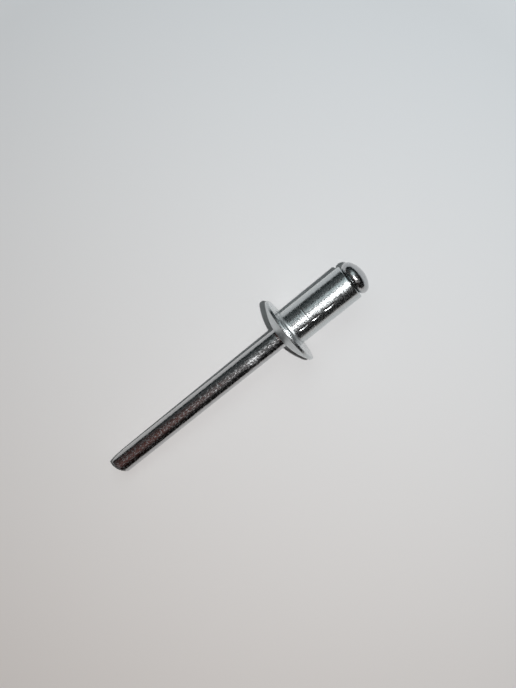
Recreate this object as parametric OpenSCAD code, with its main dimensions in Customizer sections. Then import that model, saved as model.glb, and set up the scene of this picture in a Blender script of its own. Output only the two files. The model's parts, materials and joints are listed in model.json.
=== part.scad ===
// Open-end blind rivet with a domed flange, before it is set.
// An aluminium body is carried on a steel mandrel. The rivet lies on its side, as it comes to
// rest on a table: on the edge of its flange and the cut end of its mandrel.
// Millimetres. +X runs along the rivet towards its blind end, +Z is up, and the table is at Z = 0.

/* [Rivet body] */
// Outer diameter of the shank
shank_d = 4.8; // [4:0.1:6.4]
// Length of the shank, from the flange's bearing face to the blind end
shank_l = 9.7; // [6:0.1:20]
// Radius of the rounded edge at the blind end
lip_r = 0.2; // [0.1:0.05:0.4]
// Radius of the fillet between the shank and the bearing face
neck_r = 0.25; // [0.1:0.05:0.6]
// Gap all round between the mandrel's stem and the bore
bore_gap = 0.05; // [0.03:0.01:0.1]
// Chamfer at the mouth of the bore, in the domed face
mouth_chamfer = 0.12; // [0.05:0.01:0.3]

/* [Flange] */
// Diameter of the flange
flange_d = 9.4; // [7.8:0.1:14]
// Height of the domed face's crown over the bearing face
flange_h = 1.8; // [1.3:0.05:2.4]
// Thickness of the rim, up to the start of the dome
rim_t = 0.45; // [0.35:0.01:0.8]
// Radius of the rim's two edges
rim_edge_r = 0.12; // [0.05:0.01:0.16]

/* [Mandrel] */
// Diameter of the stem
stem_d = 2.65; // [2.2:0.05:3.2]
// Length of the stem that stands out of the domed face, at its axis
stem_out = 26.8; // [20:0.1:40]
// How far the mandrel's head is smaller than the shank, all round
head_inset = 0.125; // [0:0.025:0.3]
// Height of the mandrel's head, from the body's blind end to its crown
head_h = 2.06; // [1.75:0.01:2.8]
// Height of the head's widest part, over the body's blind end
belly_h = 0.7; // [0.6:0.01:1]
// Radius of the rounding between the head's widest part and its crown
belly_r = 0.95; // [0.8:0.01:1.2]
// Slope of the conical seat around the bore, on which the mandrel's head bears
seat_angle = 7; // [4:1:12]
// Width of that seat
seat_w = 0.3; // [0.2:0.05:0.4]

/* [Break notch] */
// Depth of each of the two notches where the mandrel breaks off
notch_depth = 0.35; // [0.2:0.05:0.5]
// Distance from the blind end to the notches
notch_from_end = 2.4; // [1.5:0.1:4]

/* [Cut end of the stem] */
// Slope of the sheared end, from square
shear_angle = 19; // [0:1:35]
// Direction of the sheared end's longer side: 0 is level towards +Y, and 90 is up
shear_turn = 35; // [0:5:90]
// Length of stem that the shear has drawn down on its +Y side
draw_l = 1.65; // [0.8:0.05:3]
// Depth of that draw at the very end
draw_depth = 0.26; // [0.1:0.01:0.4]

/* [Hidden] */
$fn = 96;

// How far a cutting shape reaches past what it cuts
past = 1;

shank_r = shank_d / 2;
flange_r = flange_d / 2;
stem_r = stem_d / 2;
bore_r = stem_r + bore_gap;
head_r = shank_r - head_inset;
seat_r = bore_r + seat_w;
// Radius of the head's rounded underside, which runs from the seat's edge to its widest part
under_r = (pow(head_r - seat_r, 2) + pow(belly_h, 2)) / (2 * (head_r - seat_r));

// The dome starts from the rim's outer edge, whose rounding has its centre this far up
rim_wall = rim_t - rim_edge_r;
flange_crown_r = crown_radius(flange_r, flange_h, rim_wall, rim_edge_r);
// Height of the domed face over the bearing face, where the bore comes out of it
mouth_h = flange_h - flange_crown_r + sqrt(pow(flange_crown_r, 2) - pow(bore_r, 2));

// Length of the stem from the bearing face to the middle of its cut end
tail_l = mouth_h + stem_out;

// The rivet rests on the rounded edge of the rim and on the lower edge of the cut end, so it is
// tilted by the angle at which both touch the table
foot_l = tail_l - stem_r * tan(shear_angle) * sin(shear_turn);
rest_run = foot_l - rim_wall;
rest_rise = flange_r - rim_edge_r - stem_r;
tilt = atan2(rest_rise, rest_run) + asin(rim_edge_r / norm([rest_run, rest_rise]));
// Height of the axis over the table, at the bearing face
axis_z = rim_edge_r + (flange_r - rim_edge_r) * cos(tilt) + rim_wall * sin(tilt);

// How far the rivet reaches along X on each side of the bearing face, to centre it on X = 0
tail_reach = tail_l * cos(tilt) + stem_r * norm([
    tan(shear_angle) * cos(shear_turn) * cos(tilt),
    tan(shear_angle) * sin(shear_turn) * cos(tilt) + sin(tilt)
]);
head_crown_r = crown_radius(head_r, head_h, belly_h, belly_r);
head_reach = (shank_l + head_h - head_crown_r) * cos(tilt) + head_crown_r;
axis_x = (tail_reach - head_reach) / 2;

// Radius of a crown that runs smoothly into a corner rounding of its own
function crown_radius(radius, height, wall, corner_r) =
    (pow(radius - corner_r, 2) + pow(height - wall, 2) - pow(corner_r, 2))
    / (2 * (height - wall - corner_r));

// Half section of a crown, from the height of its corner rounding's centre up: X is the radius
// and Y the height
module crown_section(radius, height, wall, corner_r) {
    crown_r = crown_radius(radius, height, wall, corner_r);
    corner_x = radius - corner_r;
    touch_x = corner_x * crown_r / (crown_r - corner_r);
    intersection() {
        translate([0, height - crown_r]) circle(crown_r);
        translate([0, wall]) square([touch_x, height]);
    }
    translate([corner_x, wall]) circle(corner_r);
}

// Half section of the flange, standing on its bearing face
module flange_section() {
    edge_x = flange_r - rim_edge_r;
    crown_section(flange_r, flange_h, rim_wall, rim_edge_r);
    translate([edge_x, rim_edge_r]) circle(rim_edge_r);
    square([edge_x, rim_wall]);
    translate([0, rim_edge_r]) square([flange_r, rim_wall - rim_edge_r]);
}

// Half section of the shank: a rounded edge at the blind end, a fillet at the bearing face
module shank_section() {
    square([shank_r, shank_l - lip_r]);
    square([shank_r - lip_r, shank_l]);
    translate([shank_r - lip_r, shank_l - lip_r]) circle(lip_r);
    difference() {
        square([shank_r + neck_r, neck_r]);
        translate([shank_r + neck_r, neck_r]) circle(neck_r);
    }
}

// Half section of what is taken out of the body: the bore, its chamfered mouth in the domed
// face, and the conical seat for the mandrel's head
module bore_section() {
    translate([0, -flange_h - past]) square([bore_r, flange_h + shank_l + 2 * past]);
    polygon([
        [0, mouth_chamfer - mouth_h],
        [bore_r, mouth_chamfer - mouth_h],
        [bore_r + mouth_chamfer + past, -mouth_h - past],
        [0, -mouth_h - past]
    ]);
    polygon([
        [0, shank_l - seat_r * tan(seat_angle)],
        [seat_r, shank_l],
        [seat_r, shank_l + past],
        [0, shank_l + past]
    ]);
}

// Half section of the mandrel's head, standing on the blind end: a crown over a rounded
// underside, which bears on the seat
module head_section() {
    intersection() {
        crown_section(head_r, head_h, belly_h, belly_r);
        translate([0, belly_h]) square([head_r, head_h]);
    }
    intersection() {
        union() {
            translate([0, -past]) square([seat_r, past + belly_h]);
            translate([head_r - under_r, belly_h]) circle(under_r);
        }
        polygon([
            [0, -seat_r * tan(seat_angle)],
            [head_r, (head_r - seat_r) * tan(seat_angle)],
            [head_r, belly_h],
            [0, belly_h]
        ]);
    }
}

// Half section of the mandrel: a plain stem under a crowned head
module mandrel_section() {
    translate([0, -tail_l - past - stem_d]) square([stem_r, tail_l + past + stem_d + shank_l]);
    translate([0, shank_l]) head_section();
}

// Everything beyond the sloping shear plane at the end of the stem
module shear_cut() {
    cut_w = 4 * stem_d;
    translate([0, 0, -tail_l]) rotate([0, 0, shear_turn]) rotate([-shear_angle, 0, 0])
        translate([-cut_w / 2, -cut_w / 2, -cut_w]) cube(cut_w);
}

// What the shear has drawn off the +Y side: the stem runs in there along an arc
module shear_draw() {
    arc_r = (pow(draw_l, 2) + pow(draw_depth, 2)) / (2 * draw_depth);
    long_side_l = tail_l + stem_r * tan(shear_angle) * cos(shear_turn);
    translate([0, stem_r, -long_side_l - past]) difference() {
        translate([-stem_d, -draw_depth - past, 0]) cube([2 * stem_d, draw_depth + 2 * past, draw_l + past]);
        translate([0, -arc_r, draw_l + past]) rotate([0, 90, 0])
            cylinder(r = arc_r, h = 5 * stem_d, center = true, $fn = 360);
    }
}

// Two opposite notches that weaken the stem where it has to break
module break_notches() {
    for (turn = [0, 180]) rotate([0, 0, turn])
        translate([stem_r, 0, shank_l - notch_from_end]) rotate([0, 45, 0])
            cube([notch_depth * sqrt(2), 2 * stem_d, notch_depth * sqrt(2)], center = true);
}

// Lays what stands on Z = 0 on its side: the blind end points along +X and up by the tilt
module lay_down() {
    translate([axis_x, 0, axis_z]) rotate([0, 90 - tilt, 0]) children();
}

// The body is turned by half a facet, so that it lies on a flat of its faceted rim, not a corner
module rivet_body() {
    color("#cdd1d3") lay_down() rotate([0, 0, 180 / $fn]) rotate_extrude() difference() {
        union() {
            shank_section();
            mirror([0, 1]) flange_section();
        }
        bore_section();
    }
}

module mandrel() {
    color("#8f8b88") lay_down() difference() {
        rotate_extrude() mandrel_section();
        shear_cut();
        shear_draw();
        break_notches();
    }
}

rivet_body();
mandrel();
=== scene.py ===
"""Looks of an open-end blind rivet with a domed flange, before it is set.

An aluminium body on a steel mandrel, lying on a pale sheet under one small lamp close by.
Both pieces are turned from their half sections in the rivet's own frame, where +Z runs from the
flange's bearing face to the blind end and -X is the side that lies uppermost, and are then laid
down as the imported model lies. Metres throughout.
"""

import json
import math

import bmesh
import bpy
from mathutils import Matrix, Vector, noise


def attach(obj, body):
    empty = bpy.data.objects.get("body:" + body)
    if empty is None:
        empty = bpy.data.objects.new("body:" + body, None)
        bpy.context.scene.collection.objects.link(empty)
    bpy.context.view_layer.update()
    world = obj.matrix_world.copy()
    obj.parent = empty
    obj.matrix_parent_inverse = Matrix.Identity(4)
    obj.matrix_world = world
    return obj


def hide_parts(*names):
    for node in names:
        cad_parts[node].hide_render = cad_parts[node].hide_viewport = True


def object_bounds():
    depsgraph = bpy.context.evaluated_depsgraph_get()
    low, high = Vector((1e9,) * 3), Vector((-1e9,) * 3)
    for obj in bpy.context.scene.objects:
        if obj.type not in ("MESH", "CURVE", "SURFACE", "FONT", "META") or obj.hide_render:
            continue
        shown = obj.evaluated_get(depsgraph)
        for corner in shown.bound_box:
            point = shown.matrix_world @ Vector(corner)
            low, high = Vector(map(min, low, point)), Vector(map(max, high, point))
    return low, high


bl_info = {
    "name": "Blind rivet",
    "version": (1, 0, 0),
    "blender": (4, 5, 0),
    "location": "View3D > Sidebar > Blind rivet",
    "description": "Builds a domed blind rivet on its mandrel, and the stage that it lies on",
    "category": "Object",
}

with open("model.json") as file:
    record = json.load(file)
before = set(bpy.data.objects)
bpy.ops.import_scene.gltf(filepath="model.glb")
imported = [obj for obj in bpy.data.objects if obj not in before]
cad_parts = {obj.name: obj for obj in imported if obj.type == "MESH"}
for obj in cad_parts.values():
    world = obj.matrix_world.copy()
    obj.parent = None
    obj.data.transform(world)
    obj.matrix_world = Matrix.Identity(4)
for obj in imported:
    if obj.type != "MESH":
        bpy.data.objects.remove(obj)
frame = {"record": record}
CAD_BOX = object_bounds()
MOUNTS = {mount["name"]: mount for mount in frame["record"]["mounts"]}

MM = 0.001
SHEET_Z = CAD_BOX[0].z
# The flange fills the box's width, and the nearer of its two sides sets the radius
FLANGE_R = min(-CAD_BOX[0].y, CAD_BOX[1].y)

# The rivet's axis, and where that axis crosses the flange's bearing face
AXIS = Vector(MOUNTS["shank"]["axis"]).normalized()
SHANK_MIDDLE = Vector(MOUNTS["shank"]["pos_m"])
BEARING = SHANK_MIDDLE + AXIS * (Vector(MOUNTS["bearing_face"]["pos_m"]) - SHANK_MIDDLE).dot(AXIS)
# How far the axis is turned down from upright, about Y
LEAN = math.acos(AXIS.z)
LAY_DOWN = Matrix.Translation(BEARING) @ Matrix.Rotation(LEAN, 4, "Y")


# ---------------------------------------------------------------- settings


def length(name, description, millimetres, low, high):
    """A length in metres, given in millimetres."""
    return bpy.props.FloatProperty(
        name=name, description=description, default=millimetres * MM,
        min=low * MM, max=high * MM, precision=5, unit="LENGTH",
    )


def angle(name, description, degrees, low, high):
    """An angle in radians, given in degrees."""
    return bpy.props.FloatProperty(
        name=name, description=description, default=math.radians(degrees),
        min=math.radians(low), max=math.radians(high), unit="ROTATION",
    )


def count(name, description, number, low, high):
    """A whole number."""
    return bpy.props.IntProperty(
        name=name, description=description, default=number, min=low, max=high
    )


class BodySizes(bpy.types.PropertyGroup):
    """Sizes of the aluminium body."""

    shank_r: length(
        "Shank radius", "Outer radius of the shank", MOUNTS["shank"]["dims"]["r_mm"], 2, 3.2
    )
    shank_l: length("Shank length", "From the bearing face to the blind end", 9.7, 6, 20)
    lip_r: length("Lip radius", "Rounded edge at the blind end", 0.2, 0.1, 0.4)
    neck_r: length("Neck radius", "Fillet between the shank and the bearing face", 0.25, 0.1, 0.6)
    bore_gap: length("Bore gap", "Gap all round between the stem and the bore", 0.05, 0.03, 0.1)
    mouth_chamfer: length(
        "Mouth chamfer", "Chamfer where the bore leaves the dome", 0.12, 0.05, 0.3
    )
    flange_r: length("Flange radius", "Outer radius of the flange", FLANGE_R / MM, 3.9, 7)
    flange_h: length("Flange height", "Crown of the dome over the bearing face", 1.8, 1.3, 2.4)
    rim_t: length("Rim thickness", "Rim, up to the start of the dome", 0.45, 0.35, 0.8)
    rim_edge_r: length("Rim edge radius", "Rounding of the rim's two edges", 0.12, 0.05, 0.16)
    ring_at: length("Ring mark", "From the bearing face to the die's ring mark", 2.8, 1, 8)
    ring_depth: length("Ring depth", "Depth of the ring mark", 0.026, 0, 0.05)
    segments: count("Segments", "Facets round the body", 480, 96, 600)


class MandrelSizes(bpy.types.PropertyGroup):
    """Sizes of the steel mandrel."""

    stem_r: length("Stem radius", "Radius of the stem", MOUNTS["stem"]["dims"]["r_mm"], 1.1, 1.6)
    stem_out: length(
        "Stem out", "Stem that stands out of the dome", MOUNTS["stem"]["dims"]["length_mm"], 20, 40
    )
    head_inset: length("Head inset", "How far the head is smaller than the shank", 0.125, 0, 0.3)
    head_h: length("Head height", "From the blind end to the crown", 2.06, 1.75, 2.8)
    belly_h: length("Belly height", "Height of the head's widest part", 0.7, 0.6, 1)
    belly_r: length("Belly radius", "Rounding from the widest part to the crown", 0.95, 0.8, 1.2)
    seat_w: length("Seat width", "Conical seat around the bore", 0.3, 0.2, 0.4)
    seat_angle: angle("Seat angle", "Slope of that seat", 7, 4, 12)
    notch_depth: length("Notch depth", "Depth of each break notch", 0.35, 0.2, 0.5)
    notch_from_end: length("Notch place", "From the blind end to the notches", 2.4, 1.5, 4)
    shear_angle: angle("Shear angle", "Slope of the sheared end, from square", 19, 0, 35)
    shear_turn: angle("Shear turn", "Way to its longer side: 0 level, 90 up", 35, 0, 90)
    draw_l: length("Draw length", "Stem that the shear has drawn down on one side", 1.65, 0.8, 3)
    draw_depth: length("Draw depth", "Depth of that draw at the very end", 0.26, 0.1, 0.4)
    end_edge_r: length("End edge radius", "Rounding round the sheared end", 0.05, 0.01, 0.2)
    segments: count("Segments", "Facets round the mandrel", 192, 48, 360)


# ---------------------------------------------------------------- turning

# Vertices nearer than this are one
MERGE = 0.0001 * MM
# An edge where the surface turns by more than this is drawn sharp
SHARP = math.radians(28)


def line_to(bm, vert, radius, height, pieces=1):
    """Draws the outline on from its last vertex in a straight line, in equal pieces."""
    start = vert.co.copy()
    end = Vector((radius, 0, height))
    for step in range(1, pieces + 1):
        vert = bmesh.ops.extrude_vert_indiv(bm, verts=[vert])["verts"][0]
        vert.co = start.lerp(end, step / pieces)
    return vert


def arc_to(bm, vert, radius, height, turn, pieces):
    """Draws the outline on in an arc round (radius, height). A positive turn is from X to Z."""
    made = bmesh.ops.spin(
        bm, geom=[vert], cent=(radius, 0, height), axis=(0, -1, 0), dvec=(0, 0, 0),
        angle=turn, steps=pieces, use_merge=False, use_duplicate=False,
    )
    return next(item for item in made["geom_last"] if isinstance(item, bmesh.types.BMVert))


def turn_outline(bm, segments):
    """Turns the whole outline round the Z axis into a closed surface."""
    bmesh.ops.spin(
        bm, geom=bm.verts[:] + bm.edges[:], cent=(0, 0, 0), axis=(0, 0, 1), dvec=(0, 0, 0),
        angle=2 * math.pi, steps=segments, use_merge=True, use_duplicate=False,
    )
    bmesh.ops.remove_doubles(bm, verts=bm.verts, dist=MERGE)
    bmesh.ops.recalc_face_normals(bm, faces=bm.faces)
    bm.normal_update()


def crown_radius(radius, height, wall, corner_r):
    """Radius of a crown that runs smoothly into a corner rounding of its own."""
    rise = height - wall
    return ((radius - corner_r) ** 2 + rise**2 - corner_r**2) / (2 * (rise - corner_r))


def mouth_height(sizes, stem):
    """Height of the dome over the bearing face, where the bore comes out of it."""
    rim_wall = sizes.rim_t - sizes.rim_edge_r
    crown_r = crown_radius(sizes.flange_r, sizes.flange_h, rim_wall, sizes.rim_edge_r)
    bore_r = stem.stem_r + sizes.bore_gap
    return sizes.flange_h - crown_r + math.sqrt(crown_r**2 - bore_r**2)


def bell(distance, width):
    """A smooth bump of height 1 and that full width, 0 beyond it."""
    share = min(abs(distance) * 2 / width, 1)
    return (1 - share**2) ** 2


def soft_min(value, limit, blend):
    """The lower of two values, with a smooth change from one to the other."""
    gap = max(blend - abs(value - limit), 0) / blend
    return min(value, limit) - gap**2 * blend / 4


def sink(bm, depth_at):
    """Moves every vertex inwards by what depth_at gives for it."""
    bm.normal_update()
    moves = [(vert, vert.normal * depth_at(vert.co)) for vert in bm.verts]
    for vert, move in moves:
        vert.co -= move


def unevenness(place, height, grain):
    """Depth of a gently uneven surface, between 0 and height, with lumps about grain wide."""
    return height * (0.5 + 0.5 * noise.noise(place / grain))


def finish_piece(bm, name, node, materials):
    """Lays the turned piece down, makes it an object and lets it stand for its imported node."""
    for edge in bm.edges:
        edge.smooth = edge.calc_face_angle(0) < SHARP
    for face in bm.faces:
        face.smooth = True
    bm.transform(LAY_DOWN)
    mesh = bpy.data.meshes.new(name)
    bm.to_mesh(mesh)
    bm.free()
    for material in materials:
        mesh.materials.append(material)
    piece = bpy.data.objects.new(name, mesh)
    bpy.context.scene.collection.objects.link(piece)
    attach(piece, "root")
    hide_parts(node)


# ---------------------------------------------------------------- body

# The wavy drag marks along one side of the shank: where each starts and ends from the bearing
# face, in millimetres
DRAG_MARKS = ((0.9, 2.5), (2.9, 4.25), (4.85, 6.65))
DRAG_WIDTH = 0.3 * MM
DRAG_DEPTH = 0.042 * MM
# How far each mark bows towards -Y
DRAG_SAG = 0.13 * MM
# Their place around the shank, from its uppermost line towards -Y
DRAG_SIDE = math.radians(18.5)
# Width of the ring mark
RING_WIDTH = 0.26 * MM
# Height and width of the body's slight lumps
BODY_LUMPS = (0.004 * MM, 0.9 * MM)


def outline_shank(bm, vert, sizes):
    """The shank's side, with close rings where the ring mark is."""
    coarse, fine, reach = 0.13 * MM, 0.015 * MM, 0.15 * MM
    # Each stretch of the shank: where it ends, and how far apart its rings are
    for height, step in (
        (sizes.ring_at - reach, coarse),
        (sizes.ring_at + reach, fine),
        (sizes.shank_l - sizes.lip_r, coarse),
    ):
        pieces = math.ceil((height - vert.co.z) / step)
        vert = line_to(bm, vert, sizes.shank_r, height, pieces)
    return vert


def outline_flange(bm, vert, sizes):
    """From the bore through its chamfered mouth, over the dome and round the rim."""
    rim_wall = sizes.rim_t - sizes.rim_edge_r
    crown_r = crown_radius(sizes.flange_r, sizes.flange_h, rim_wall, sizes.rim_edge_r)
    crown_z = crown_r - sizes.flange_h
    edge_x = sizes.flange_r - sizes.rim_edge_r

    # The chamfer starts at vert and slopes outwards at 45 degrees until it meets the dome
    lift = vert.co.z - crown_z
    half = (vert.co.x - lift) / 2
    reach = -half + math.sqrt(half**2 - (vert.co.x**2 + lift**2 - crown_r**2) / 2)
    vert = line_to(bm, vert, vert.co.x + reach, vert.co.z - reach, 3)

    dome_from = math.atan2(vert.co.z - crown_z, vert.co.x)
    dome_to = math.atan2(-rim_wall - crown_z, edge_x)
    vert = arc_to(bm, vert, 0, crown_z, dome_to - dome_from, 36)
    vert = arc_to(bm, vert, edge_x, -rim_wall, -dome_to, 10)
    vert = line_to(bm, vert, sizes.flange_r, -sizes.rim_edge_r, 4)
    vert = arc_to(bm, vert, edge_x, -sizes.rim_edge_r, math.pi / 2, 12)
    return line_to(bm, vert, sizes.shank_r + sizes.neck_r, 0, 12)


def on_shank(sizes, place):
    """Whether a point is on the shank's outer side, within a fiftieth of its radius."""
    return place.xy.length >= sizes.shank_r * 0.98 and place.z >= sizes.neck_r


def drag_depth(sizes, place):
    """Depth of the wavy drag marks that run along one side of the shank."""
    around = sizes.shank_r * (math.atan2(place.y, -place.x) + DRAG_SIDE)
    for start, end in DRAG_MARKS:
        share = (place.z / MM - start) / (end - start)
        if 0 < share < 1:
            across = around + DRAG_SAG * math.sin(math.pi * share)
            # Each mark runs out over a ninth of its length at both ends
            return DRAG_DEPTH * bell(across, DRAG_WIDTH) * min(1, 9 * share, 9 * (1 - share))
    return 0


def body_depth(sizes, place):
    """How far a point of the body lies under the plain turned surface."""
    depth = unevenness(place, *BODY_LUMPS)
    if on_shank(sizes, place):
        ring = sizes.ring_depth * bell(place.z - sizes.ring_at, RING_WIDTH)
        # The die pressed unevenly round the ring
        depth += ring * (0.7 + 0.6 * noise.noise(place / (1.1 * MM)))
        depth += drag_depth(sizes, place)
    return depth


class RIVET_OT_body(bpy.types.Operator):
    """Builds the aluminium body: shank, flange and bore"""

    bl_idname = "rivet.body"
    bl_label = "Build the body"

    def execute(self, context):
        sizes = context.scene.rivet_body
        stem = context.scene.rivet_mandrel
        bore_r = stem.stem_r + sizes.bore_gap
        seat_r = bore_r + stem.seat_w
        mouth_z = -mouth_height(sizes, stem)

        bm = bmesh.new()
        vert = bm.verts.new((sizes.shank_r, 0, sizes.neck_r))
        vert = outline_shank(bm, vert, sizes)
        lip = (sizes.shank_r - sizes.lip_r, sizes.shank_l - sizes.lip_r)
        vert = arc_to(bm, vert, *lip, math.pi / 2, 12)
        vert = line_to(bm, vert, seat_r, sizes.shank_l, 4)
        vert = line_to(bm, vert, bore_r, sizes.shank_l - stem.seat_w * math.tan(stem.seat_angle), 2)
        vert = line_to(bm, vert, bore_r, mouth_z + sizes.mouth_chamfer, 6)
        vert = outline_flange(bm, vert, sizes)
        arc_to(bm, vert, sizes.shank_r + sizes.neck_r, sizes.neck_r, -math.pi / 2, 10)
        turn_outline(bm, sizes.segments)
        sink(bm, lambda place: body_depth(sizes, place))
        finish_piece(bm, "domed_body", "rivet_body", [cold_formed_aluminium()])
        return {"FINISHED"}


# ---------------------------------------------------------------- mandrel

# Knocks on the stem, in millimetres: distance from the dome, place around towards +Y, and width
KNOCKS = ((9.8, 0.1, 0.45), (10.4, -0.15, 0.4), (4.8, -0.3, 0.45))
KNOCK_DEPTH = 0.035 * MM
# The stem swells by this much, over this length, where it enters the bore
SWELL_HEIGHT = 0.03 * MM
SWELL_LENGTH = 0.3 * MM
# Height and width of the mandrel's slight lumps
MANDREL_LUMPS = (0.003 * MM, 1.4 * MM)
# Length of stem over which the slant of the sheared end fades out
SLANT_LENGTH = 1.2 * MM
# How softly the drawn side runs into the round of the stem
DRAW_BLEND = 0.08 * MM


def outline_stem(bm, vert, tail_z, mouth_z, seat_z, notch_z, stem):
    """The stem's side, with close rings at the sheared end and the break notches."""
    reach = 1.3 * stem.notch_depth
    # Each stretch of the stem: where it ends, and how far apart its rings are
    for height, step in (
        (tail_z + 2 * stem.draw_l, 0.05 * MM),
        (mouth_z, 0.11 * MM),
        (notch_z - reach, 0.5 * MM),
        (notch_z + reach, 0.03 * MM),
        (seat_z, 0.25 * MM),
    ):
        pieces = math.ceil((height - vert.co.z) / step)
        vert = line_to(bm, vert, stem.stem_r, height, pieces)
    return vert


def outline_head(bm, vert, blind_z, seat_r, head_r, stem):
    """From the stem out over the seat, then round the head's underside and over its crown."""
    vert = line_to(bm, vert, seat_r, blind_z, 6)
    # The underside is an arc from the seat's edge to the head's widest part
    rise = stem.belly_h
    under_r = ((head_r - seat_r) ** 2 + rise**2) / (2 * (head_r - seat_r))
    vert = arc_to(bm, vert, head_r - under_r, blind_z + rise, math.asin(rise / under_r), 24)

    crown_r = crown_radius(head_r, stem.head_h, stem.belly_h, stem.belly_r)
    crown_z = blind_z + stem.head_h - crown_r
    belly_x = head_r - stem.belly_r
    belly_to = math.atan2(blind_z + rise - crown_z, belly_x)
    vert = arc_to(bm, vert, belly_x, blind_z + rise, belly_to, 24)
    arc_to(bm, vert, 0, crown_z, math.pi / 2 - belly_to, 20)


def shear_tail(bm, tail_z, stem):
    """Slants the end of the stem, and draws its longer side down as a shear does."""
    away = Vector((-math.sin(stem.shear_turn), math.cos(stem.shear_turn)))
    slope = math.tan(stem.shear_angle)
    long_z = tail_z - stem.stem_r * slope * away.y
    for vert in bm.verts:
        share = min(max((tail_z + SLANT_LENGTH - vert.co.z) / SLANT_LENGTH, 0), 1)
        vert.co.z -= share * slope * vert.co.xy.dot(away)
        drawn = max(long_z + stem.draw_l - vert.co.z, 0) / stem.draw_l
        if drawn:
            limit = stem.stem_r - stem.draw_depth * drawn**2
            vert.co.y = soft_min(vert.co.y, limit, DRAW_BLEND)


def cut_notches(bm, notch_z, stem):
    """Presses the two opposite break notches into the stem."""
    for vert in bm.verts:
        limit = stem.stem_r - stem.notch_depth + abs(vert.co.z - notch_z)
        if limit < stem.stem_r:
            vert.co.x = max(-limit, min(vert.co.x, limit))


def mandrel_depth(place, stem, mouth_z):
    """How far a point of the mandrel lies under the plain turned surface."""
    depth = unevenness(place, *MANDREL_LUMPS)
    depth -= SWELL_HEIGHT * bell(place.z - mouth_z, SWELL_LENGTH)
    around = stem.stem_r * math.atan2(place.y, -place.x)
    for before, side, width in KNOCKS:
        far = math.hypot(mouth_z - before * MM - place.z, around - side * MM)
        depth += KNOCK_DEPTH * bell(far, width * MM)
    return depth


class RIVET_OT_mandrel(bpy.types.Operator):
    """Builds the steel mandrel: sheared stem, break notches and crowned head"""

    bl_idname = "rivet.mandrel"
    bl_label = "Build the mandrel"

    def execute(self, context):
        sizes = context.scene.rivet_body
        stem = context.scene.rivet_mandrel
        head_r = sizes.shank_r - stem.head_inset
        seat_r = stem.stem_r + sizes.bore_gap + stem.seat_w
        mouth_z = -mouth_height(sizes, stem)
        tail_z = mouth_z - stem.stem_out
        seat_z = sizes.shank_l - (seat_r - stem.stem_r) * math.tan(stem.seat_angle)
        notch_z = sizes.shank_l - stem.notch_from_end

        bm = bmesh.new()
        vert = bm.verts.new((0, 0, tail_z))
        edge = stem.end_edge_r
        vert = line_to(bm, vert, stem.stem_r - edge, tail_z, 16)
        vert = arc_to(bm, vert, stem.stem_r - edge, tail_z + edge, math.pi / 2, 5)
        vert = outline_stem(bm, vert, tail_z, mouth_z, seat_z, notch_z, stem)
        outline_head(bm, vert, sizes.shank_l, seat_r, head_r, stem)
        turn_outline(bm, stem.segments)
        sink(bm, lambda place: mandrel_depth(place, stem, mouth_z))
        for face in bm.faces:
            face.material_index = int(face.calc_center_median().z < tail_z + 0.1 * edge)
        cut_notches(bm, notch_z, stem)
        shear_tail(bm, tail_z, stem)
        finish_piece(
            bm, "pull_mandrel", "mandrel", [drawn_steel(), sheared_steel()]
        )
        return {"FINISHED"}


# ---------------------------------------------------------------- materials


def linear(hex_colour):
    """An sRGB hex colour such as #8f8b88 as linear RGBA."""
    channels = [int(hex_colour[at : at + 2], 16) / 255 for at in (1, 3, 5)]
    return [c / 12.92 if c <= 0.04045 else ((c + 0.055) / 1.055) ** 2.4 for c in channels] + [1]


def per_metre(millimetres):
    """The scale that makes a pattern's features that many millimetres wide."""
    return 1 / (millimetres * MM)


def add(tree, kind, inputs=(), stops=(), **fields):
    """Adds a node with its settings and a ramp's (place, RGBA) stops, and fills its inputs."""
    made = tree.nodes.new(kind)
    for field, value in fields.items():
        setattr(made, field, value)
    if stops:
        elements = made.color_ramp.elements
        for place, _ in stops[1:-1]:
            elements.new(place)
        for element, (place, colour) in zip(elements, stops):
            element.position = place
            element.color = colour
    for socket, value in dict(inputs).items():
        if isinstance(value, bpy.types.NodeSocket):
            tree.links.new(value, made.inputs[socket])
        else:
            made.inputs[socket].default_value = value
    return made


def new_material(name):
    """An empty material and its node tree."""
    material = bpy.data.materials.new(name)
    material.use_nodes = True
    material.node_tree.nodes.clear()
    return material, material.node_tree


def own_frame(tree):
    """Object coordinates brought into the rivet's own frame, +Z along its axis."""
    coords = add(tree, "ShaderNodeTexCoord")
    return add(
        tree, "ShaderNodeMapping",
        {"Vector": coords.outputs["Object"], "Location": BEARING, "Rotation": (0, LEAN, 0)},
        vector_type="TEXTURE",
    ).outputs["Vector"]


def speckle(tree, own, width, drawn_out=1):
    """Specks about that many millimetres wide, drawn out that many times along the rivet."""
    place = add(
        tree, "ShaderNodeMapping", {"Vector": own, "Scale": (1, 1, 1 / drawn_out)},
        vector_type="POINT",
    ).outputs["Vector"]
    return add(
        tree, "ShaderNodeTexNoise",
        {"Vector": place, "Scale": per_metre(width), "Detail": 2.0, "Roughness": 0.6},
    ).outputs["Fac"]


def along_rivet(tree, own, stops):
    """A value set by the place along the rivet, from (millimetres, value) stops."""
    place = add(tree, "ShaderNodeSeparateXYZ", {"Vector": own}).outputs["Z"]
    first, last = stops[0][0], stops[-1][0]
    share = add(
        tree, "ShaderNodeMapRange",
        {
            "Value": place, "From Min": first * MM, "From Max": last * MM, "To Min": 0.0,
            "To Max": 1.0,
        },
    ).outputs["Result"]
    greys = [((at - first) / (last - first), (value, value, value, 1)) for at, value in stops]
    return add(tree, "ShaderNodeValToRGB", {"Fac": share}, greys).outputs["Color"]


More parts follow.
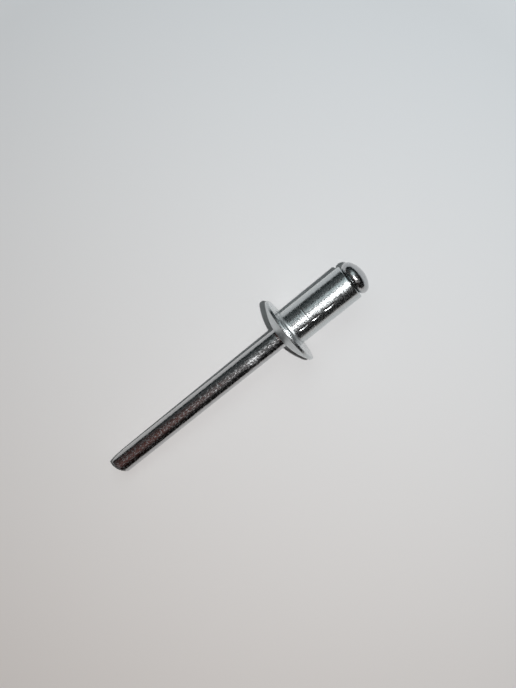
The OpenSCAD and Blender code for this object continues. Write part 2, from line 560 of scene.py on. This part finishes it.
def cold_formed_aluminium():
    """Cold-formed aluminium: bright and finely mottled by the die and by tumbling, duller on the
    dome and round the neck, and brightest at the lip."""
    material, tree = new_material("cold_formed_aluminium")
    own = own_frame(tree)
    mottle = speckle(tree, own, 0.16)
    streaks = speckle(tree, own, 0.14, 12)
    relief = add(
        tree, "ShaderNodeMath", {0: streaks, 1: 0.4, 2: mottle}, operation="MULTIPLY_ADD"
    ).outputs[0]
    # The die left the shank rougher up to the ring mark
    rough_part = along_rivet(tree, own, (
        (-0.6, 0.2), (-0.45, 1.0), (2.7, 1.0), (2.9, 0.6), (9.7, 0.6),
    ))
    bump = add(
        tree, "ShaderNodeBump", {"Height": relief, "Strength": rough_part, "Distance": 0.014 * MM}
    ).outputs["Normal"]
    dull = add(
        tree, "ShaderNodeMapRange",
        {"Value": mottle, "From Min": 0.4, "From Max": 0.62, "To Min": 0.04, "To Max": 0.23},
    ).outputs["Result"]
    added = along_rivet(tree, own, (
        (-0.7, 0.27), (-0.46, 0.27), (-0.4, 0.14), (-0.04, 0.14), (-0.02, 0.12), (0.02, 0.12),
        (0.04, 0.36), (0.25, 0.36), (0.45, 0.1), (9.4, 0.1), (9.55, 0),
    ))
    roughness = add(tree, "ShaderNodeMath", {0: dull, 1: added}, operation="ADD").outputs[0]
    shader = add(
        tree, "ShaderNodeBsdfPrincipled",
        {
            "Base Color": linear("#c9cdce"), "Metallic": 1.0,
            "Roughness": roughness, "Normal": bump,
        },
    )
    add(tree, "ShaderNodeOutputMaterial", {"Surface": shader.outputs["BSDF"]})
    return material


def drawn_steel():
    """Bright drawn steel wire: darker than the body, smooth, with dull specks and draw lines and
    a scuffed patch where it rubbed."""
    material, tree = new_material("drawn_steel")
    own = own_frame(tree)
    lines = speckle(tree, own, 0.13, 2.5)
    dull = add(
        tree, "ShaderNodeMapRange",
        {"Value": lines, "From Min": 0.46, "From Max": 0.64, "To Min": 0.09, "To Max": 0.36},
    ).outputs["Result"]
    # The scuff lies a little to the -Y side of the top
    apart = add(
        tree, "ShaderNodeMapping",
        {
            "Vector": own, "Location": (0, -0.25 * MM, -6.1 * MM),
            "Scale": (1, 0.6 * MM, 1.5 * MM),
        },
        vector_type="TEXTURE",
    ).outputs["Vector"]
    far = add(tree, "ShaderNodeVectorMath", {0: apart}, operation="LENGTH").outputs["Value"]
    nicks = add(
        tree, "ShaderNodeMapRange",
        {
            "Value": speckle(tree, own, 0.16, 1.6), "From Min": 0.42, "From Max": 0.56,
            "To Min": 0.0, "To Max": 1.0,
        },
    ).outputs["Result"]
    scuff = add(
        tree, "ShaderNodeMapRange",
        {"Value": far, "From Min": 1.0, "From Max": 0.3, "To Min": 0.0, "To Max": nicks},
    ).outputs["Result"]
    worn = add(
        tree, "ShaderNodeMath", {0: scuff, 1: 0.4, 2: dull}, operation="MULTIPLY_ADD"
    ).outputs[0]
    uneven = along_rivet(tree, own, ((0, 0.2), (9.4, 0.2), (9.8, 1.0)))
    bump = add(
        tree, "ShaderNodeBump", {"Height": lines, "Strength": uneven, "Distance": 0.009 * MM}
    ).outputs["Normal"]
    shader = add(
        tree, "ShaderNodeBsdfPrincipled",
        {
            "Base Color": linear("#bcbdbe"), "Metallic": 1.0, "Roughness": worn, "Normal": bump,
        },
    )
    add(tree, "ShaderNodeOutputMaterial", {"Surface": shader.outputs["BSDF"]})
    return material


def sheared_steel():
    """Sheared steel: dull and coarse where the wire tore through."""
    material, tree = new_material("sheared_steel")
    own = own_frame(tree)
    torn = add(
        tree, "ShaderNodeTexNoise", {"Vector": own, "Scale": per_metre(0.15), "Detail": 4.0}
    ).outputs["Fac"]
    bump = add(
        tree, "ShaderNodeBump", {"Height": torn, "Strength": 1.0, "Distance": 0.03 * MM}
    ).outputs["Normal"]
    shader = add(
        tree, "ShaderNodeBsdfPrincipled",
        {"Base Color": linear("#a8a5a2"), "Metallic": 1.0, "Roughness": 0.42, "Normal": bump},
    )
    add(tree, "ShaderNodeOutputMaterial", {"Surface": shader.outputs["BSDF"]})
    return material


def matt_card():
    """Matt white card: pale, with painted light across it, darker and warmer towards one side and
    lighter and cooler towards the other, and painted reflections of it far off.
    """
    material, tree = new_material("matt_card")
    coords = add(tree, "ShaderNodeTexCoord").outputs["Object"]
    turned = add(
        tree, "ShaderNodeMapping", {"Vector": coords, "Rotation": (0, 0, math.radians(-32))},
        vector_type="POINT",
    ).outputs["Vector"]
    across = add(tree, "ShaderNodeSeparateXYZ", {"Vector": turned}).outputs["X"]
    # Painted light: the card's colour runs from a darker warm grey to a lighter cool grey across
    # it, standing in for the tint and fall of the light over the sheet
    cool = add(
        tree, "ShaderNodeMapRange",
        {"Value": across, "From Min": -50 * MM, "From Max": 50 * MM, "To Min": 0.0, "To Max": 1.0},
    ).outputs["Result"]
    colour = add(
        tree, "ShaderNodeMix", {0: cool, 6: linear("#d6cfcb"), 7: linear("#d8dcdf")},
        data_type="RGBA",
    ).outputs[2]

    # Beyond the lamp's reach the card is still seen as pale as it is under the rivet
    rays = add(tree, "ShaderNodeLightPath").outputs
    far = add(tree, "ShaderNodeVectorMath", {0: coords}, operation="LENGTH").outputs["Value"]
    unlit = add(
        tree, "ShaderNodeMapRange",
        {"Value": far, "From Min": 55 * MM, "From Max": 180 * MM, "To Min": 0.0, "To Max": 1.0},
    ).outputs["Result"]
    seen = add(
        tree, "ShaderNodeMath", {0: unlit, 1: rays["Is Camera Ray"]}, operation="MULTIPLY"
    ).outputs[0]

    # Painted reflections of the card far off, seen only in the metal: on the -Y side the card glows
    # paler than its light makes it, and on the +Y side it turns dark as if it ended there
    sideways = add(tree, "ShaderNodeSeparateXYZ", {"Vector": coords}).outputs["Y"]
    pale = add(
        tree, "ShaderNodeMapRange",
        {
            "Value": sideways, "From Min": -30 * MM, "From Max": -70 * MM, "To Min": 0.0,
            "To Max": 0.4,
        },
    ).outputs["Result"]
    # Painted reflection: the glow on the -Y side is added for mirrored rays only
    glow = add(
        tree, "ShaderNodeMath", {0: pale, 1: rays["Is Glossy Ray"], 2: seen},
        operation="MULTIPLY_ADD",
    ).outputs[0]
    # Painted reflection: beyond 80 mm on the +Y side the card turns dark grey only where the metal
    # mirrors it, as if the card ended there
    dark_mirror_share = add(
        tree, "ShaderNodeMapRange",
        {
            "Value": sideways, "From Min": 80 * MM, "From Max": 105 * MM, "To Min": 0.0,
            "To Max": 1.0,
        },
    ).outputs["Result"]
    painted_dark_reflection = add(
        tree, "ShaderNodeMath", {0: dark_mirror_share, 1: rays["Is Glossy Ray"]}, operation="MULTIPLY"
    ).outputs[0]
    colour = add(
        tree, "ShaderNodeMix", {0: painted_dark_reflection, 6: colour, 7: linear("#202424")}, data_type="RGBA"
    ).outputs[2]
    shader = add(
        tree, "ShaderNodeBsdfPrincipled",
        {
            "Base Color": colour, "Roughness": 0.9, "Specular IOR Level": 0.1,
            "Emission Color": colour, "Emission Strength": glow,
        },
    )
    add(tree, "ShaderNodeOutputMaterial", {"Surface": shader.outputs["BSDF"]})
    return material


# ---------------------------------------------------------------- stage

# Colours of the room from the horizon, 0, to straight up, 1, on its -Y side and its +Y side
DARK_SKY = (
    (0, "#121212"), (0.3, "#141414"), (0.6, "#1c1c1c"), (0.72, "#303030"), (0.82, "#4c4c4c"),
    (0.92, "#6c6c6c"), (1, "#767676"),
)
COOL_SKY = (
    (0, "#0e1313"), (0.15, "#1c2324"), (0.35, "#3c4344"), (0.55, "#4c5051"), (0.75, "#424546"),
    (0.88, "#606262"), (1, "#767676"),
)
# What tints the room across a band beyond the rivet's tail
WARM_BAND = ((0, "#ffffff"), (0.2, "#ffb0a4"), (0.65, "#ffb0a4"), (1, "#ffffff"))

# Where the lamp hangs and where the camera stands, from under the middle of the bearing face
LAMP_PLACE = Vector((9.2 * MM, -8.2 * MM, 130 * MM))
CAMERA_PLACE = Vector((-2.776 * MM, 1.123 * MM, 136.424 * MM))
# The camera looks straight down, turned about the upright so that the rivet points to the upper
# right, and is then tipped about its own X and Y by a little
CAMERA_TURN = math.radians(-38.609)
CAMERA_TIP = math.radians(-0.451)
CAMERA_SWING = math.radians(0.545)


class StageSettings(bpy.types.PropertyGroup):
    """The sheet, the lamp, the surroundings and the camera."""

    sheet_size: length("Sheet size", "Side of the sheet that the rivet lies on", 3000, 200, 9000)
    lamp_power: bpy.props.FloatProperty(
        name="Lamp power", description="Power of the lamp, in watts", default=0.57, min=0
    )
    lamp_radius: length("Lamp radius", "Radius of the lamp's globe", 1.5, 0.5, 40)
    lens: bpy.props.FloatProperty(
        name="Lens", description="Focal length of the camera, in millimetres", default=54.1, min=10
    )


def build_sheet(stage):
    """The pale sheet under the rivet."""
    bm = bmesh.new()
    bmesh.ops.create_grid(
        bm, x_segments=1, y_segments=1, size=stage.sheet_size / 2,
        matrix=Matrix.Translation((0, 0, SHEET_Z)),
    )
    mesh = bpy.data.meshes.new("sheet")
    bm.to_mesh(mesh)
    bm.free()
    mesh.materials.append(matt_card())
    sheet = bpy.data.objects.new("sheet", mesh)
    bpy.context.scene.collection.objects.link(sheet)


def build_lamp(stage):
    """One small lamp close over the rivet, a little towards its blind end."""
    data = bpy.data.lights.new("lamp", "POINT")
    data.energy = stage.lamp_power
    data.shadow_soft_size = stage.lamp_radius
    lamp = bpy.data.objects.new("lamp", data)
    lamp.location = Vector((BEARING.x, 0, 0)) + LAMP_PLACE
    bpy.context.scene.collection.objects.link(lamp)


def build_surroundings():
    """A dim room: darkest on the -Y side, cooler on the +Y side, warm beyond the rivet's tail, a
    cool window high up on the +X +Y side, and a plain pale backdrop where it is seen itself."""
    world = bpy.data.worlds.new("surroundings")
    world.use_nodes = True
    tree = world.node_tree
    tree.nodes.clear()
    way = add(tree, "ShaderNodeTexCoord").outputs["Generated"]
    split = add(tree, "ShaderNodeSeparateXYZ", {"Vector": way}).outputs

    dark_side, cool_side = (
        add(
            tree, "ShaderNodeValToRGB", {"Fac": split["Z"]},
            [(height, linear(colour)) for height, colour in sky],
        ).outputs["Color"]
        for sky in (DARK_SKY, COOL_SKY)
    )
    side = add(
        tree, "ShaderNodeMapRange",
        {"Value": split["Y"], "From Min": -0.15, "From Max": 0.15, "To Min": 0.0, "To Max": 1.0},
    ).outputs["Result"]
    room = add(
        tree, "ShaderNodeMix", {0: side, 6: dark_side, 7: cool_side}, data_type="RGBA"
    ).outputs[2]

    # A warm band across the sky, where it is mirrored in the tail
    tailward = add(
        tree, "ShaderNodeMapRange",
        {"Value": split["X"], "From Min": -0.48, "From Max": -0.28, "To Min": 0.0, "To Max": 1.0},
    ).outputs["Result"]
    band = add(
        tree, "ShaderNodeValToRGB", {"Fac": tailward},
        [(share, linear(colour)) for share, colour in WARM_BAND],
    ).outputs["Color"]
    warm = add(
        tree, "ShaderNodeMix", {0: 1.0, 6: room, 7: band}, data_type="RGBA", blend_type="MULTIPLY"
    ).outputs[2]

    # The window is an oval: the place of its middle, and its half lengths
    apart = add(
        tree, "ShaderNodeMapping",
        {"Vector": way, "Location": (0.25, 0.42, 0.8), "Scale": (0.5, 0.28, 0.6)},
        vector_type="TEXTURE",
    ).outputs["Vector"]
    far = add(tree, "ShaderNodeVectorMath", {0: apart}, operation="LENGTH").outputs["Value"]
    pane = add(
        tree, "ShaderNodeMapRange",
        {"Value": far, "From Min": 1.0, "From Max": 0.85, "To Min": 0.0, "To Max": 0.9},
    ).outputs["Result"]
    lit = add(
        tree, "ShaderNodeMix", {0: pane, 6: warm, 7: linear("#e4f4f6")}, data_type="RGBA"
    ).outputs[2]
    seen = add(tree, "ShaderNodeLightPath").outputs["Is Camera Ray"]
    shown = add(
        tree, "ShaderNodeMix", {0: seen, 6: lit, 7: linear("#d7d6d5")}, data_type="RGBA"
    ).outputs[2]
    background = add(tree, "ShaderNodeBackground", {"Color": shown, "Strength": 1.0})
    add(tree, "ShaderNodeOutputWorld", {"Surface": background.outputs["Background"]})
    bpy.context.scene.world = world


def build_camera(stage):
    """A camera over the rivet, turned so that the rivet points to the upper right."""
    data = bpy.data.cameras.new("camera")
    data.lens = stage.lens
    data.clip_start = 5 * MM
    data.clip_end = 10
    camera = bpy.data.objects.new("camera", data)
    camera.matrix_world = (
        Matrix.Translation(Vector((BEARING.x, 0, 0)) + CAMERA_PLACE)
        @ Matrix.Rotation(CAMERA_TURN, 4, "Z")
        @ Matrix.Rotation(CAMERA_TIP, 4, "X")
        @ Matrix.Rotation(CAMERA_SWING, 4, "Y")
    )
    bpy.context.scene.collection.objects.link(camera)
    bpy.context.scene.camera = camera


class RIVET_OT_stage(bpy.types.Operator):
    """Builds the sheet, the lamp, the surroundings and the camera"""

    bl_idname = "rivet.stage"
    bl_label = "Build the stage"

    def execute(self, context):
        stage = context.scene.rivet_stage
        build_sheet(stage)
        build_lamp(stage)
        build_surroundings()
        build_camera(stage)
        context.scene.view_settings.view_transform = "Standard"
        return {"FINISHED"}


# ---------------------------------------------------------------- panel and registration


class RIVET_PT_panel(bpy.types.Panel):
    """Lists what the add-on builds"""

    bl_idname = "RIVET_PT_panel"
    bl_label = "Blind rivet"
    bl_space_type = "VIEW_3D"
    bl_region_type = "UI"
    bl_category = "Blind rivet"

    def draw(self, context):
        for operator, settings in (
            ("rivet.body", context.scene.rivet_body),
            ("rivet.mandrel", context.scene.rivet_mandrel),
            ("rivet.stage", context.scene.rivet_stage),
        ):
            box = self.layout.box()
            for field in settings.bl_rna.properties.keys():
                if field not in ("rna_type", "name"):
                    box.prop(settings, field)
            box.operator(operator)


CLASSES = (
    BodySizes, MandrelSizes, StageSettings,
    RIVET_OT_body, RIVET_OT_mandrel, RIVET_OT_stage, RIVET_PT_panel,
)


def register():
    """Registers the classes and hangs the settings on the scene."""
    for cls in CLASSES:
        bpy.utils.register_class(cls)
    bpy.types.Scene.rivet_body = bpy.props.PointerProperty(type=BodySizes)
    bpy.types.Scene.rivet_mandrel = bpy.props.PointerProperty(type=MandrelSizes)
    bpy.types.Scene.rivet_stage = bpy.props.PointerProperty(type=StageSettings)


def unregister():
    """Takes the settings off the scene and unregisters the classes."""
    for name in ("rivet_body", "rivet_mandrel", "rivet_stage"):
        delattr(bpy.types.Scene, name)
    for cls in reversed(CLASSES):
        bpy.utils.unregister_class(cls)


def main():
    """Builds the rivet and its stage."""
    register()
    bpy.ops.rivet.body()
    bpy.ops.rivet.mandrel()
    bpy.ops.rivet.stage()


if __name__ == "__main__":
    main()
